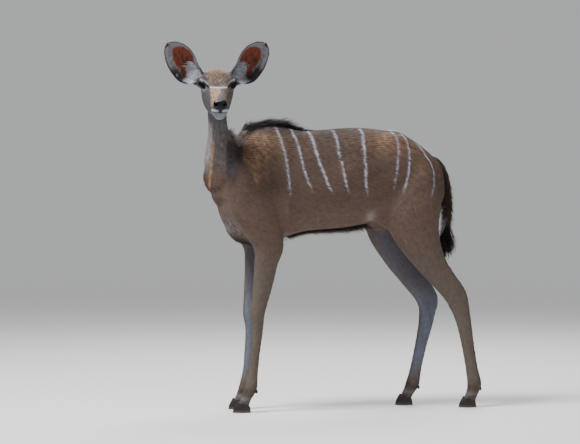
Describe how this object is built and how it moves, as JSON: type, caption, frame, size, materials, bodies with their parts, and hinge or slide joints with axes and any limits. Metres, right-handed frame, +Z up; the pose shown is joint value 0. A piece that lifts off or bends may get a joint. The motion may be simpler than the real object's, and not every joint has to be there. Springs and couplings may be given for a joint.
{
  "type": "greater kudu",
  "caption": "Life-size still model of a standing greater kudu cow, head turned to her left, with mane, belly fringe and tail tuft.",
  "frame": {"origin": "on the floor, under the middle of the whole animal's bounding box", "axes": "+Z up, -X the way the body faces, -Y towards her left side; the head is turned to her left, towards -Y"},
  "size_m": [1.4408, 0.6176, 1.5894],
  "materials": {
    "coat": "matt",
    "leg": "matt",
    "ear": "matt",
    "tail": "matt",
    "eye": "gloss",
    "horn": "satin"
  },
  "bodies": {
    "root": {"ear_left": "ear", "ear_right": "ear", "eye_left": "eye", "eye_right": "eye", "foreleg_left_cannon": "leg", "foreleg_left_claw_inner": "horn", "foreleg_left_claw_outer": "horn", "foreleg_left_dewclaw_inner": "horn", "foreleg_left_dewclaw_outer": "horn", "foreleg_left_pastern": "leg", "foreleg_left_upper": "coat", "foreleg_right_cannon": "leg", "foreleg_right_claw_inner": "horn", "foreleg_right_claw_outer": "horn", "foreleg_right_dewclaw_inner": "horn", "foreleg_right_dewclaw_outer": "horn", "foreleg_right_pastern": "leg", "foreleg_right_upper": "coat", "head": "coat", "hindleg_left_cannon": "leg", "hindleg_left_claw_inner": "horn", "hindleg_left_claw_outer": "horn", "hindleg_left_dewclaw_inner": "horn", "hindleg_left_dewclaw_outer": "horn", "hindleg_left_pastern": "leg", "hindleg_left_upper": "coat", "hindleg_right_cannon": "leg", "hindleg_right_claw_inner": "horn", "hindleg_right_claw_outer": "horn", "hindleg_right_dewclaw_inner": "horn", "hindleg_right_dewclaw_outer": "horn", "hindleg_right_pastern": "leg", "hindleg_right_upper": "coat", "neck": "coat", "tail": "tail", "torso_front": "coat", "torso_middle": "coat", "torso_rear": "coat"}
  },
  "joints": []
}
